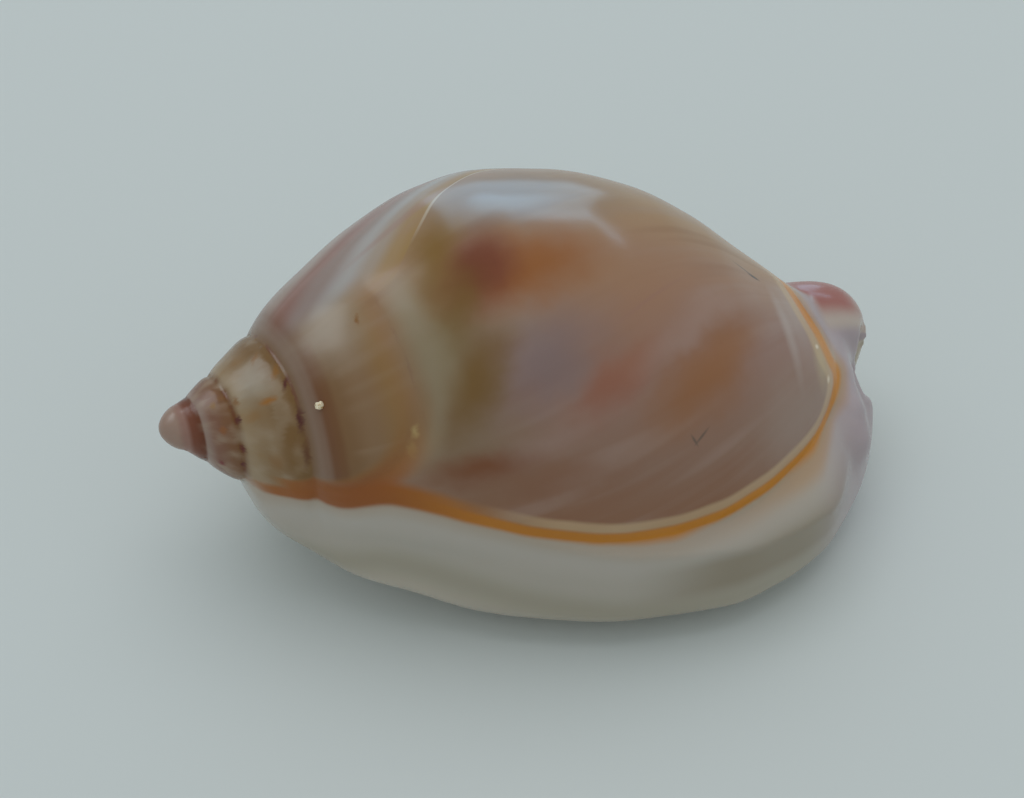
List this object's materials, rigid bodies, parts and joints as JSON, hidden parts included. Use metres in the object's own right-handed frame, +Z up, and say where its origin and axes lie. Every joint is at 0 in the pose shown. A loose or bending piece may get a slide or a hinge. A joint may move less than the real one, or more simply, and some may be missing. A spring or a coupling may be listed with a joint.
{
  "type": "nassa shell",
  "caption": "Small glossy sea snail shell with a short pointed spire, a domed body whorl and a thick callus, lying on its flat mouth side.",
  "frame": {"origin": "centre of the shell's box on the surface that it rests on", "axes": "+X along the shell from apex to siphonal end, +Z up out of the humped back, outer lip on -Y"},
  "size_m": [0.0148, 0.01, 0.0075],
  "materials": {
    "shell": "glossy"
  },
  "bodies": {
    "root": {"shell": "shell"}
  },
  "joints": []
}
